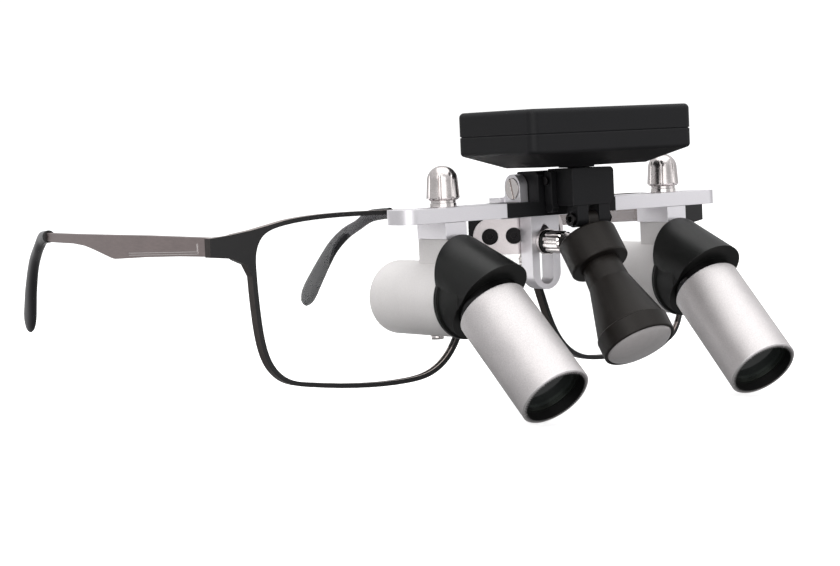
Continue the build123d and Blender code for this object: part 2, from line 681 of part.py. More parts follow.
with BuildPart() as latch_pin:
    with BuildSketch(Plane.YZ.offset(-LH_X + 1.8)):
        with Locations((LATCH_Y, LATCH_Z)):
            Circle(0.57)
    extrude(amount=-3.5)
    with BuildSketch(Plane.YZ.offset(-LH_X - 1.7)):
        with Locations((LATCH_Y, LATCH_Z)):
            Circle(0.95)
    extrude(amount=-0.4)
save(latch_pin, "latch_pin")

# lamp tilt screw through the clevis
with BuildPart() as lamp_tilt_screw:
    with BuildSketch(Plane.YZ.offset(-4.55)):
        with Locations((LAMP_PIV_Y, LAMP_PIV_Z)):
            Circle(0.9)
    extrude(amount=9.1)
    with BuildSketch(Plane.YZ.offset(-4.55)):
        with Locations((LAMP_PIV_Y, LAMP_PIV_Z)):
            Circle(1.45)
            RegularPolygon(0.75, 6, mode=Mode.SUBTRACT)
    extrude(amount=-0.9)
    with BuildSketch(Plane.YZ.offset(4.55)):
        with Locations((LAMP_PIV_Y, LAMP_PIV_Z)):
            RegularPolygon(1.45, 6)
    extrude(amount=0.9)
save(lamp_tilt_screw, "lamp_tilt_screw")

# ------------------------------------------------------------------ lamp
LA = math.radians(LAMP_DECL)
LAX = Vector(0, -math.cos(LA), -math.sin(LA))       # lamp axis, pointing out of the lamp
LTOP = Vector(0, -40.65, ZB - 6.8)                  # centre of the heat sink's top face


def lamp_plane(s):
    o = LTOP + LAX * s
    return Plane(origin=(o.X, o.Y, o.Z), x_dir=(1, 0, 0), z_dir=(LAX.X, LAX.Y, LAX.Z))


with BuildPart() as lamp_heatsink:
    with BuildSketch(lamp_plane(0)):
        Circle(6.7)
    extrude(amount=7.75)
    fillet(lamp_heatsink.edges().filter_by(GeomType.CIRCLE), 0.55)
    with BuildSketch(lamp_plane(3.0)):
        Circle(4.55)
    extrude(amount=6.0, mode=Mode.SUBTRACT)
    # tongue up to the tilt screw
    with BuildSketch(Plane.YZ.offset(-1.35)):
        with BuildLine():
            Line((LAMP_PIV_Y - 1.7, LAMP_PIV_Z), (LAMP_PIV_Y - 1.7, ZB - 6.4))
            Line((LAMP_PIV_Y - 1.7, ZB - 6.4), (LAMP_PIV_Y + 1.7, ZB - 9.0))
            Line((LAMP_PIV_Y + 1.7, ZB - 9.0), (LAMP_PIV_Y + 1.7, LAMP_PIV_Z))
            ThreePointArc((LAMP_PIV_Y + 1.7, LAMP_PIV_Z), (LAMP_PIV_Y, LAMP_PIV_Z + 1.7), (LAMP_PIV_Y - 1.7, LAMP_PIV_Z))
        make_face()
    extrude(amount=2.7)
    with BuildSketch(Plane.YZ.offset(-2)):
        with Locations((LAMP_PIV_Y, LAMP_PIV_Z)):
            Circle(0.95)
    extrude(amount=4, mode=Mode.SUBTRACT)
    with BuildSketch(lamp_plane(3.0)):
        Circle(4.55)
    extrude(amount=6.0, mode=Mode.SUBTRACT)
save(lamp_heatsink, "lamp_heatsink")

# lamp body: neck and cone widening to the lens, hollow
LAMP_LEN = 28.75
BEZEL_S = LAMP_LEN - 4.4
with BuildPart() as lamp_body:
    with BuildSketch(Plane(origin=(LTOP.X, LTOP.Y, LTOP.Z), x_dir=(1, 0, 0), z_dir=(0, LAX.Z, -LAX.Y))):
        # in this plane +X is radial and -Y runs along the lamp axis
        with BuildLine():
            Polyline((3.2, -3.0), (4.5, -3.0), (4.5, -9.0), (4.75, -12.5), (7.95, -BEZEL_S), (6.7, -BEZEL_S), (3.7, -12.5), (3.2, -9.0), close=True)
        make_face()
    revolve(axis=Axis((LTOP.X, LTOP.Y, LTOP.Z), (LAX.X, LAX.Y, LAX.Z)))
save(lamp_body, "lamp_body")

with BuildPart() as lamp_bezel:
    with BuildSketch(lamp_plane(BEZEL_S)):
        Circle(8.2)
        Circle(6.7, mode=Mode.SUBTRACT)
    extrude(amount=4.4)
    fillet(lamp_bezel.edges().filter_by(GeomType.CIRCLE).group_by(SortBy.RADIUS)[-1], 0.35)
    with BuildSketch(lamp_plane(BEZEL_S + 0.8)):
        Circle(7.7)
    extrude(amount=5.0, mode=Mode.SUBTRACT)
save(lamp_bezel, "lamp_bezel")

with BuildPart() as lamp_lens:
    with BuildSketch(lamp_plane(BEZEL_S + 0.8)):
        Circle(7.65)
    extrude(amount=3.1)
    with BuildSketch(lamp_plane(BEZEL_S + 0.8)):
        Circle(6.4)
    extrude(amount=-6.0, taper=22)
save(lamp_lens, "lamp_lens")

with BuildPart() as lamp_led:
    with BuildSketch(lamp_plane(9.6)):
        Circle(3.1)
    extrude(amount=0.8)
    with BuildSketch(lamp_plane(10.4)):
        Rectangle(2.4, 2.4)
    extrude(amount=0.6)
save(lamp_led, "lamp_led")

# ------------------------------------------------------------------ battery pod
with BuildPart() as pod_post:
    with BuildSketch(Plane.XY.offset(LH_Z1 - 4.8)):
        with Locations((0, POD_Y)):
            Circle(2.0)
    extrude(amount=POD_FLAT_Z + 2.0 - (LH_Z1 - 4.8))
    with BuildSketch(Plane.XY.offset(LH_Z1 + 0.12)):
        with Locations((0, POD_Y)):
            Circle(4.0)
    extrude(amount=POD_FLAT_Z - LH_Z1 - 0.12)
save(pod_post, "pod_post")

POD_WALL = 1.3
with BuildPart() as pod_lower:
    with BuildSketch(Plane.XY.offset(POD_Z0)):
        with Locations((0, POD_Y)):
            RectangleRounded(2 * POD_HX, 2 * POD_HY, 1.9)
    extrude(amount=POD_SPLIT - POD_Z0)
    with BuildSketch(Plane.XY.offset(POD_Z0)):
        with Locations((0, POD_Y)):
            RectangleRounded(2 * POD_HX, 2 * POD_HY, 1.9)
    with BuildSketch(Plane.XY.offset(POD_FLAT_Z)):
        with Locations((0, POD_Y)):
            RectangleRounded(2 * (POD_HX - 8.0), 2 * (POD_HY - 6.0), 1.9)
    loft()
    # soften the edge between the walls and the sloping underside
    rim = [e for e in pod_lower.edges() if abs(e.center().Z - POD_Z0) < 0.01 and e.bounding_box().size.Z < 0.01]
    fillet(rim, 0.9)
    with BuildSketch(Plane.XY.offset(POD_Z0 + 0.2)):
        with Locations((0, POD_Y)):
            RectangleRounded(2 * (POD_HX - POD_WALL), 2 * (POD_HY - POD_WALL), 1.0)
    extrude(amount=POD_SPLIT - POD_Z0, mode=Mode.SUBTRACT)
    with BuildSketch(Plane.XY.offset(POD_FLAT_Z - 1)):
        with Locations((0, POD_Y)):
            Circle(2.0)
    extrude(amount=3.0, mode=Mode.SUBTRACT)
save(pod_lower, "pod_lower")

with BuildPart() as pod_upper:
    with BuildSketch(Plane.XY.offset(POD_SPLIT)):
        with Locations((0, POD_Y)):
            RectangleRounded(2 * POD_HX, 2 * POD_HY, 1.9)
    extrude(amount=POD_Z1 - POD_SPLIT)
    fillet(pod_upper.edges().group_by(Axis.Z)[-1], 1.1)
    # parting groove
    with BuildSketch(Plane.XY.offset(POD_SPLIT)):
        with Locations((0, POD_Y)):
            Rectangle(2 * POD_HX + 4, 2 * POD_HY + 4)
            RectangleRounded(2 * POD_HX - 0.5, 2 * POD_HY - 0.5, 1.7, mode=Mode.SUBTRACT)
    extrude(amount=0.22, mode=Mode.SUBTRACT)
    with BuildSketch(Plane.XY.offset(POD_SPLIT)):
        with Locations((0, POD_Y)):
            RectangleRounded(2 * (POD_HX - POD_WALL), 2 * (POD_HY - POD_WALL), 1.0)
    extrude(amount=POD_Z1 - POD_SPLIT - 1.3, mode=Mode.SUBTRACT)
    # push button opening and charging port in the rear wall
    with BuildSketch(Plane.XZ.offset(-(POD_Y + POD_HY) + POD_WALL + 0.5)):
        with Locations((9.0, POD_SPLIT + 2.2)):
            SlotCenterToCenter(3.0, 2.6)
        with Locations((-9.0, POD_SPLIT + 2.0)):
            SlotCenterToCenter(5.8, 2.9)
    extrude(amount=-3.0, mode=Mode.SUBTRACT)
save(pod_upper, "pod_upper")

with BuildPart() as power_button:
    with BuildSketch(Plane.XZ.offset(-(POD_Y + POD_HY) + POD_WALL + 0.2)):
        with Locations((9.0, POD_SPLIT + 2.2)):
            SlotCenterToCenter(3.0, 2.3)
    extrude(amount=-2.2)
save(power_button, "power_button")

with BuildPart() as charge_port:
    with BuildSketch(Plane.XZ.offset(-(POD_Y + POD_HY) + POD_WALL + 3.6)):
        with Locations((-9.0, POD_SPLIT + 2.0)):
            SlotCenterToCenter(5.8, 2.8)
    extrude(amount=-4.8)
    with BuildSketch(Plane.XZ.offset(-(POD_Y + POD_HY) + POD_WALL + 2.8)):
        with Locations((-9.0, POD_SPLIT + 2.0)):
            SlotCenterToCenter(5.2, 2.2)
    extrude(amount=-6.0, mode=Mode.SUBTRACT)
save(charge_port, "charge_port")

with BuildPart() as battery_cell:
    with BuildSketch(Plane.XY.offset(POD_Z0 + 0.4)):
        with Locations((0, POD_Y - 1.6)):
            RectangleRounded(36.0, 18.0, 1.0)
    extrude(amount=4.4)
save(battery_cell, "battery_cell")

with BuildPart() as driver_board:
    with BuildSketch(Plane.XY.offset(POD_Z1 - 2.6)):
        with Locations((0, POD_Y - 3.0)):
            Rectangle(38.0, 16.0)
    extrude(amount=1.0)
save(driver_board, "driver_board")


# ------------------------------------------------------------------ telescopes
def toe_frame(side):
    """Unit vectors of one telescope: to its right, forward, up, and its swivel axis point."""
    t = math.radians(TOE)
    fwd = Vector(-side * math.sin(t), -math.cos(t), 0)
    rgt = Vector(math.cos(t), -side * math.sin(t), 0)
    piv = Vector(side * IPD / 2, KNOB_Y, 0)
    return rgt, fwd, piv


def tele_point(side, ahead, z):
    rgt, fwd, piv = toe_frame(side)
    p = piv + fwd * ahead
    return (p.X, p.Y, z)


def eye_plane(side, ahead):
    """Plane across the eyepiece tube, looking forward."""
    rgt, fwd, piv = toe_frame(side)
    return Plane(origin=tele_point(side, ahead, AXIS_Z), x_dir=(rgt.X, rgt.Y, 0), z_dir=(fwd.X, fwd.Y, 0))


def barrel_plane(side, s):
    """Plane across the objective barrel, s beyond the elbow, looking outward."""
    rgt, fwd, piv = toe_frame(side)
    d = math.radians(DECL)
    a = fwd * math.cos(d) + Vector(0, 0, -math.sin(d))
    o = Vector(*tele_point(side, ELBOW, AXIS_Z)) + a * s
    return Plane(origin=(o.X, o.Y, o.Z), x_dir=(rgt.X, rgt.Y, 0), z_dir=(a.X, a.Y, a.Z))


def roof_plane(side, s):
    """Plane across the prism housing's roof, whose axis lies at half the declination."""
    rgt, fwd, piv = toe_frame(side)
    d = math.radians(DECL / 2)
    a = fwd * math.cos(d) + Vector(0, 0, -math.sin(d))
    o = Vector(*tele_point(side, FLANGE, ZB - 12.9)) + a * s
    return Plane(origin=(o.X, o.Y, o.Z), x_dir=(rgt.X, rgt.Y, 0), z_dir=(a.X, a.Y, a.Z))


def flat_plane(side, z):
    rgt, fwd, piv = toe_frame(side)
    return Plane(origin=(piv.X, piv.Y, z), x_dir=(rgt.X, rgt.Y, 0), z_dir=(0, 0, 1))


BLOCK_W = 5.54
BLOCK_Z0, BLOCK_Z1 = ZB - 5.2, ZB - BAR_HALF_T - 0.05


def make_clamp_block(side):
    with BuildPart() as b:
        with BuildSketch(Plane.XY.offset(BLOCK_Z0)):
            with Locations((side * IPD / 2, -29.75)):
                Rectangle(BLOCK_W, 10.9)
        extrude(amount=BLOCK_Z1 - BLOCK_Z0)
        with BuildSketch(Plane.XY.offset(BLOCK_Z1)):
            with Locations((side * IPD / 2, KNOB_Y)):
                Circle(1.5)
        extrude(amount=7.5)
        with BuildSketch(Plane.XY.offset(BLOCK_Z0)):
            with Locations((side * IPD / 2, KNOB_Y)):
                Circle(1.3)
        extrude(amount=2.4, mode=Mode.SUBTRACT)
    return b


def make_top_knob(side):
    with BuildPart() as k:
        z0 = ZB + BAR_HALF_T + 0.95
        with BuildSketch(Plane.XY.offset(z0)):
            with Locations((side * IPD / 2, KNOB_Y)):
                Circle(KNOB_R)
        extrude(amount=5.9, taper=4.2)
        with BuildSketch(Plane.XY.offset(z0 + 5.9)):
            with Locations((side * IPD / 2, KNOB_Y)):
                Circle(KNOB_R - 5.9 * math.tan(math.radians(4.2)))
        extrude(amount=2.2, taper=20)
        # shallow grip flats round the skirt
        with BuildSketch(Plane.XY.offset(z0 + 0.7)):
            with Locations((side * IPD / 2, KNOB_Y)):
                with PolarLocations(KNOB_R + 0.62, 8):
                    Circle(1.0)
        extrude(amount=9.0, mode=Mode.SUBTRACT)
        fillet(k.edges().group_by(Axis.Z)[-1], 0.8)
        with BuildSketch(Plane.XY.offset(z0)):
            with Locations((side * IPD / 2, KNOB_Y)):
                Circle(1.53)
        extrude(amount=5.4, mode=Mode.SUBTRACT)
    return k


def make_knob_washer(side):
    with BuildPart() as w:
        with BuildSketch(Plane.XY.offset(ZB + BAR_HALF_T + 0.05)):
            with Locations((side * IPD / 2, KNOB_Y)):
                Circle(2.9)
                Circle(1.6, mode=Mode.SUBTRACT)
        extrude(amount=0.85)
    return w


def make_eyepiece(side):
    with BuildPart() as e:
        with BuildSketch(eye_plane(side, -REAR)):
            Circle(EYE_R)
        extrude(amount=REAR + FLANGE)
        fillet(e.edges().filter_by(GeomType.CIRCLE).sort_by(Axis.Y)[-1], 2.6)
        # stem up to the clamp block
        with BuildSketch(flat_plane(side, ZB - 5.25)):
            with Locations((0, 1.0)):
                Rectangle(5.1, 10.2)
        extrude(amount=-8.0)
        with BuildSketch(flat_plane(side, ZB - 5.25)):
            Circle(1.2)
        extrude(amount=2.2)
        # bore for the optics, wide at the front, narrower at the eye end
        with BuildSketch(eye_plane(side, -REAR + 1.6)):
            Circle(6.5)
        extrude(amount=REAR + FLANGE + 2, mode=Mode.SUBTRACT)
        with BuildSketch(eye_plane(side, -REAR - 1)):
            Circle(4.9)
        extrude(amount=4, mode=Mode.SUBTRACT)
    return e


def make_eye_lens(side):
    with BuildPart() as e:
        with BuildSketch(eye_plane(side, -REAR + 1.6)):
            Circle(6.5)
        extrude(amount=2.6)
    return e


def make_housing(side):
    with BuildPart() as h:
        with BuildSketch(roof_plane(side, -8)):
            Circle(8.0)
        extrude(amount=32)
        with BuildSketch(eye_plane(side, FLANGE)):
            Circle(8.2)
        extrude(amount=ELBOW - FLANGE)
        with BuildSketch(barrel_plane(side, -7.0)):
            Circle(7.95)
        extrude(amount=7.0 + S_CUT)
        # flange against the eyepiece tube
        with BuildSketch(eye_plane(side, FLANGE)):
            Circle(8.6)
        extrude(amount=0.9)
        # trim to the rear face and to the plane across the barrel
        with BuildSketch(eye_plane(side, FLANGE)):
            Rectangle(60, 60)
        extrude(amount=-30, mode=Mode.SUBTRACT)
        with BuildSketch(barrel_plane(side, S_CUT)):
            Rectangle(60, 60)
        extrude(amount=40, mode=Mode.SUBTRACT)
        # light path
        with BuildSketch(eye_plane(side, FLANGE - 1)):
            Circle(6.3)
        extrude(amount=ELBOW - FLANGE + 1, mode=Mode.SUBTRACT)
        with BuildSketch(barrel_plane(side, 0)):
            Circle(6.3)
        extrude(amount=S_CUT + 1, mode=Mode.SUBTRACT)
    return h


def make_prism(side):
    with BuildPart() as p:
        with BuildSketch(eye_plane(side, FLANGE + 1.0)):
            Circle(6.3)
        extrude(amount=ELBOW - FLANGE - 1.0)
        with BuildSketch(barrel_plane(side, 0.0)):
            Rectangle(40, 40)
        extrude(amount=20, mode=Mode.SUBTRACT)
    return p


def make_neck(side):
    with BuildPart() as n:
        with BuildSketch(barrel_plane(side, S_CUT)):
            Circle(7.3)
            Circle(6.0, mode=Mode.SUBTRACT)
        extrude(amount=S_TOP - S_CUT)
        with BuildSketch(barrel_plane(side, S_TOP)):
            Circle(6.9)
            Circle(6.0, mode=Mode.SUBTRACT)
        extrude(amount=3.0)
    return n


def make_barrel(side):
    with BuildPart() as b:
        with BuildSketch(barrel_plane(side, S_TOP)):
            Circle(TUBE_R)
            Circle(6.9, mode=Mode.SUBTRACT)
        extrude(amount=S_END - S_TOP)
        chamfer(b.edges().filter_by(GeomType.CIRCLE).group_by(SortBy.RADIUS)[-1], 0.25)
    return b


def make_objective(side):
    with BuildPart() as o:
        with BuildSketch(barrel_plane(side, S_END - 6.0)):
            Circle(6.9)
        extrude(amount=3.0)
    return o


def make_retainer(side):
    with BuildPart() as r:
        with BuildSketch(barrel_plane(side, S_END - 3.0)):
            Circle(6.9)
            Circle(6.2, mode=Mode.SUBTRACT)
        extrude(amount=0.8)
    return r


MAKERS = [("clamp_block", make_clamp_block), ("top_knob", make_top_knob), ("knob_washer", make_knob_washer),
          ("eyepiece_tube", make_eyepiece), ("eyepiece_lens", make_eye_lens),
          ("prism_housing", make_housing), ("prism", make_prism), ("barrel_neck", make_neck),
          ("objective_barrel", make_barrel), ("objective_lens", make_objective), ("lens_retainer", make_retainer)]
for stem, maker in MAKERS:
    for side, word in ((-1, "right"), (1, "left")):
        save(maker(side), stem + "_" + word)
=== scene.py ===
"""Looks for the dental loupes: spectacle frame, flip-up bar, two prismatic telescopes, tiltable lamp and battery pod.
Everything is in metres in the CAD frame: +Z up, the wearer looks along -Y, the wearer's left is +X."""

import math

import bmesh
import bpy
from mathutils import Matrix, Vector
from mathutils.bvhtree import BVHTree


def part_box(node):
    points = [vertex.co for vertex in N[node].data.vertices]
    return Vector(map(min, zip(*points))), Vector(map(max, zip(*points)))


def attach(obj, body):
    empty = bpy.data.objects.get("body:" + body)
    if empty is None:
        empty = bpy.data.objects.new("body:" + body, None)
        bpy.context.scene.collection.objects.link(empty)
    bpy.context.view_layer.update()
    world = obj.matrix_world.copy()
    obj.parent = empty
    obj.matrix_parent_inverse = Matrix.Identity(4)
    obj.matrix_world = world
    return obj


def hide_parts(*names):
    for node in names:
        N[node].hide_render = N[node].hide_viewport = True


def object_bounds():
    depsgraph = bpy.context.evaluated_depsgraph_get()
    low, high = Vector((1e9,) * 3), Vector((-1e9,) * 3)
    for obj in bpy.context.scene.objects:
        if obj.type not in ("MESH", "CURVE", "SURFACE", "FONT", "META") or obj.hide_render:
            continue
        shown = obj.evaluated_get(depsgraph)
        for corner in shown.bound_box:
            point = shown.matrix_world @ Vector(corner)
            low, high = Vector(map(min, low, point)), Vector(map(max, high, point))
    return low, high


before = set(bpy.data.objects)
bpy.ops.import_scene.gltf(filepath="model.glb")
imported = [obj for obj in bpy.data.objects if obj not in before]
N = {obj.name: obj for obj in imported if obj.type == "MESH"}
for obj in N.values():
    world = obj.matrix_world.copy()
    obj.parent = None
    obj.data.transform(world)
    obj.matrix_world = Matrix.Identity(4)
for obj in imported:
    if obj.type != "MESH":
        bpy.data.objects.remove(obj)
CAD_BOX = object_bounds()
MM = 0.001
ZB = 14.0  # middle plane of the carrier bar, mm


# ------------------------------------------------------------------ colours and node helpers
def lin(r, g, b):
    def f(c):
        c /= 255.0
        return c / 12.92 if c <= 0.04045 else ((c + 0.055) / 1.055) ** 2.4

    return (f(r), f(g), f(b), 1.0)


class Graph:
    """A material's node tree with short calls for the nodes that the finishes share."""

    def __init__(self, name):
        self.mat = bpy.data.materials.new(name)
        self.mat.use_nodes = True
        self.t = self.mat.node_tree
        self.t.nodes.clear()
        self.out = self.t.nodes.new("ShaderNodeOutputMaterial")
        self.bsdf = self.t.nodes.new("ShaderNodeBsdfPrincipled")
        self.t.links.new(self.bsdf.outputs[0], self.out.inputs[0])
        self.tc = self.t.nodes.new("ShaderNodeTexCoord")

    def link(self, a, b):
        self.t.links.new(a, b)

    def noise(self, scale, detail=2.0, rough=0.5, vector=None, distortion=0.0):
        n = self.t.nodes.new("ShaderNodeTexNoise")
        n.inputs["Scale"].default_value = scale
        n.inputs["Detail"].default_value = detail
        n.inputs["Roughness"].default_value = rough
        n.inputs["Distortion"].default_value = distortion
        self.link(vector or self.tc.outputs["Object"], n.inputs["Vector"])
        return n.outputs["Fac"]

    def voronoi(self, scale, vector=None):
        n = self.t.nodes.new("ShaderNodeTexVoronoi")
        n.inputs["Scale"].default_value = scale
        self.link(vector or self.tc.outputs["Object"], n.inputs["Vector"])
        return n.outputs["Distance"]

    def mapping(self, scale=(1, 1, 1), rot=(0, 0, 0), loc=(0, 0, 0), src=None):
        n = self.t.nodes.new("ShaderNodeMapping")
        n.inputs["Scale"].default_value = scale
        n.inputs["Rotation"].default_value = rot
        n.inputs["Location"].default_value = loc
        self.link(src or self.tc.outputs["Object"], n.inputs["Vector"])
        return n.outputs[0]

    def math(self, op, a, b=None, c=None, clamp=False):
        n = self.t.nodes.new("ShaderNodeMath")
        n.operation = op
        n.use_clamp = clamp
        for i, v in enumerate((a, b, c)):
            if v is None:
                continue
            if isinstance(v, (int, float)):
                n.inputs[i].default_value = v
            else:
                self.link(v, n.inputs[i])
        return n.outputs[0]

    def vmath(self, op, a, b=None, out=0):
        n = self.t.nodes.new("ShaderNodeVectorMath")
        n.operation = op
        for i, v in enumerate((a, b)):
            if v is None:
                continue
            if isinstance(v, (tuple, list, Vector)):
                n.inputs[i].default_value = tuple(v)
            else:
                self.link(v, n.inputs[i])
        return n.outputs[out]

    def remap(self, v, a, b, c, d, smooth=False):
        n = self.t.nodes.new("ShaderNodeMapRange")
        if smooth:
            n.interpolation_type = "SMOOTHSTEP"
        n.inputs["From Min"].default_value = a
        n.inputs["From Max"].default_value = b
        n.inputs["To Min"].default_value = c
        n.inputs["To Max"].default_value = d
        self.link(v, n.inputs["Value"])
        return n.outputs[0]

    def mix(self, f, a, b):
        n = self.t.nodes.new("ShaderNodeMix")
        n.data_type = "RGBA"
        if isinstance(f, (int, float)):
            n.inputs[0].default_value = f
        else:
            self.link(f, n.inputs[0])
        for i, v in ((6, a), (7, b)):
            if isinstance(v, (tuple, list)):
                n.inputs[i].default_value = v
            else:
                self.link(v, n.inputs[i])
        return n.outputs[2]

    def bevel(self, radius_mm, samples=4):
        n = self.t.nodes.new("ShaderNodeBevel")
        n.samples = samples
        n.inputs["Radius"].default_value = radius_mm * MM
        return n.outputs[0]

    def bump(self, height, strength, distance_mm, normal=None):
        n = self.t.nodes.new("ShaderNodeBump")
        n.inputs["Strength"].default_value = strength
        n.inputs["Distance"].default_value = distance_mm * MM
        self.link(height, n.inputs["Height"])
        if normal is not None:
            self.link(normal, n.inputs["Normal"])
        return n.outputs[0]

    def geometry(self):
        return self.t.nodes.new("ShaderNodeNewGeometry")


def finish(name, light, dark, rough=0.4, rough_spread=0.06, metallic=0.0, ior=1.5, blotch=90.0, grain=3500.0,
           grain_mix=0.5, contrast=0.18, bump=0.25, bump_mm=0.006, bump_scale=5000.0, edge_mm=0.12,
           wear_and_highlight_colour=None, wear_and_highlight_amount=0.6, specular=None, coat=0.0, coat_rough=0.2, stretch=None, tint=None):
    """Painted, anodised, moulded or machined surface: two tones broken up by a broad and a fine noise,
    roughness that follows the broad one, a fine relief, rounded edges, and an optional lighter edge tone that is partly
    wear and partly painted highlight."""
    g = Graph(name)
    src = g.mapping(scale=stretch) if stretch else g.tc.outputs["Object"]
    broad = g.noise(blotch, 3.0, 0.6)
    fine = g.noise(grain, 2.0, 0.6, vector=src)
    blend = g.math("ADD", g.math("MULTIPLY", broad, 1.0 - grain_mix), g.math("MULTIPLY", fine, grain_mix))
    f = g.remap(blend, 0.5 - contrast, 0.5 + contrast, 0.0, 1.0)
    colour = g.mix(f, dark, light)
    # Edges take a lighter tone through a bevel mask broken up by the fine noise: partly wear, partly painted highlight.
    if wear_and_highlight_colour is not None:
        geo = g.geometry()
        wide = g.bevel(max(edge_mm, 0.1) * 1.6, 4)
        dot = g.vmath("DOT_PRODUCT", wide, geo.outputs["Normal"], out=1)
        wear_and_highlight = g.math("MULTIPLY", g.remap(dot, 0.995, 0.90, 0.0, wear_and_highlight_amount), g.remap(fine, 0.3, 0.6, 0.6, 1.0))
        colour = g.mix(wear_and_highlight, colour, wear_and_highlight_colour)
    g.link(colour, g.bsdf.inputs["Base Color"])
    g.link(g.remap(g.math("ADD", g.math("MULTIPLY", broad, 0.6), g.math("MULTIPLY", fine, 0.4)), 0.3, 0.7,
                   max(0.02, rough - rough_spread), min(1.0, rough + rough_spread)), g.bsdf.inputs["Roughness"])
    g.bsdf.inputs["Metallic"].default_value = metallic
    g.bsdf.inputs["IOR"].default_value = ior
    if specular is not None:
        g.bsdf.inputs["Specular IOR Level"].default_value = specular
    if tint is not None:
        g.bsdf.inputs["Specular Tint"].default_value = tint
    g.bsdf.inputs["Coat Weight"].default_value = coat
    g.bsdf.inputs["Coat Roughness"].default_value = coat_rough
    normal = g.bevel(edge_mm) if edge_mm else None
    relief = g.noise(bump_scale, 2.0, 0.55, vector=src)
    g.link(g.bump(relief, bump, bump_mm, normal), g.bsdf.inputs["Normal"])
    return g


def glass(name, colour, rough=0.01, ior=1.5, smear=0.02, metallic=0.0):
    """Clear optic with the faint uneven film that handling leaves."""
    g = Graph(name)
    film = g.noise(140.0, 4.0, 0.6, distortion=0.6)
    g.link(g.mix(g.remap(film, 0.35, 0.7, 0.0, 1.0), colour, tuple(c * 0.985 for c in colour[:3]) + (1.0,)),
           g.bsdf.inputs["Base Color"])
    g.link(g.remap(film, 0.4, 0.75, rough, rough + smear), g.bsdf.inputs["Roughness"])
    g.bsdf.inputs["Transmission Weight"].default_value = 1.0
    g.bsdf.inputs["IOR"].default_value = ior
    g.link(g.bump(g.noise(60.0, 2.0), 0.02, 0.01), g.bsdf.inputs["Normal"])
    return g


# ------------------------------------------------------------------ finishes
M = {}
M["frame_face"] = finish("frame_face_black", lin(30, 29, 30), lin(20, 19, 20), rough=0.46, ior=1.42, bump=0.3,
                         bump_mm=0.008, bump_scale=4200, edge_mm=0.16, wear_and_highlight_colour=lin(74, 70, 68), wear_and_highlight_amount=0.5).mat
# One bare metal in a lit and a shaded copy: painted highlight on the upward faces, painted shade on the flanks.
M["frame_painted_highlight_top"] = finish("rim_top_metal_painted_highlight", lin(196, 182, 176), lin(158, 146, 141), rough=0.30, metallic=1.0,
                         bump=0.15, bump_mm=0.004, edge_mm=0.10, stretch=(1, 1, 0.15)).mat
M["frame_painted_shade_sides"] = finish("rim_side_metal_painted_shade", lin(92, 85, 82), lin(62, 57, 55), rough=0.34, metallic=0.9,
                          bump=0.15, bump_mm=0.004, edge_mm=0.10, stretch=(1, 1, 0.15)).mat
M["temple_metal"] = finish("temple_metal", lin(168, 153, 151), lin(142, 128, 126), rough=0.34, metallic=1.0,
                           blotch=60, grain=2600, stretch=(1.0, 0.05, 1.0), bump=0.2, bump_mm=0.004, edge_mm=0.12,
                           wear_and_highlight_colour=lin(212, 204, 202), wear_and_highlight_amount=0.5).mat
M["tip_black"] = finish("tip_black", lin(30, 29, 34), lin(18, 18, 22), rough=0.20, rough_spread=0.05, ior=1.5,
                        bump=0.06, bump_mm=0.01, bump_scale=900, edge_mm=0, coat=0.35, coat_rough=0.10).mat
M["steel"] = finish("polished_steel", lin(236, 231, 229), lin(212, 206, 204), rough=0.11, rough_spread=0.04,
                    metallic=1.0, blotch=300, grain=5000, bump=0.10, bump_mm=0.003, edge_mm=0.12).mat
M["silver"] = finish("satin_silver", lin(246, 244, 247), lin(232, 229, 233), rough=0.42, rough_spread=0.07,
                     metallic=0.82, blotch=70, grain=6500, bump=0.35, bump_mm=0.006, bump_scale=7000,
                     edge_mm=0.16, wear_and_highlight_colour=lin(250, 249, 250), wear_and_highlight_amount=0.7).mat
M["bracket"] = finish("bracket_silver", lin(244, 237, 237), lin(222, 214, 214), rough=0.40, rough_spread=0.08,
                      metallic=0.85, blotch=120, grain=5200, bump=0.35, bump_mm=0.006, edge_mm=0.16,
                      wear_and_highlight_colour=lin(246, 243, 243), wear_and_highlight_amount=0.6).mat
M["screw_black"] = finish("screw_black_oxide", lin(34, 32, 33), lin(18, 17, 18), rough=0.32, metallic=0.9,
                          bump=0.2, bump_mm=0.004, edge_mm=0.08, wear_and_highlight_colour=lin(86, 82, 80), wear_and_highlight_amount=0.5).mat
M["paint"] = finish("grey_paint", lin(226, 223, 222), lin(216, 213, 212), rough=0.50, rough_spread=0.05,
                    ior=1.4, blotch=80, grain=2600, bump=0.30, bump_mm=0.010, bump_scale=3800, edge_mm=0.2).mat
M["alu"] = finish("blasted_aluminium", lin(224, 220, 220), lin(197, 193, 193), rough=0.50, rough_spread=0.08,
                  metallic=0.80, blotch=90, grain=5600, grain_mix=0.72, contrast=0.14, bump=0.50, bump_mm=0.010,
                  bump_scale=5200, edge_mm=0.2, wear_and_highlight_colour=lin(252, 251, 251), wear_and_highlight_amount=0.8).mat
M["bore"] = finish("bore_black", lin(16, 16, 16), lin(9, 9, 9), rough=0.5, ior=1.4, bump=0.3, bump_mm=0.01,
                   bump_scale=2500, edge_mm=0.05).mat
M["retainer"] = finish("retainer_grey", lin(92, 98, 92), lin(66, 71, 66), rough=0.35, metallic=0.9, bump=0.2,
                       bump_mm=0.004, edge_mm=0.08).mat
M["anod"] = finish("anodised_black", lin(33, 29, 26), lin(20, 17, 15), rough=0.40, rough_spread=0.06, metallic=0.2,
                   ior=1.45, specular=0.34, blotch=70, grain=4200, bump=0.35, bump_mm=0.007, bump_scale=5200,
                   edge_mm=0.16, wear_and_highlight_colour=lin(84, 80, 76), wear_and_highlight_amount=0.5).mat
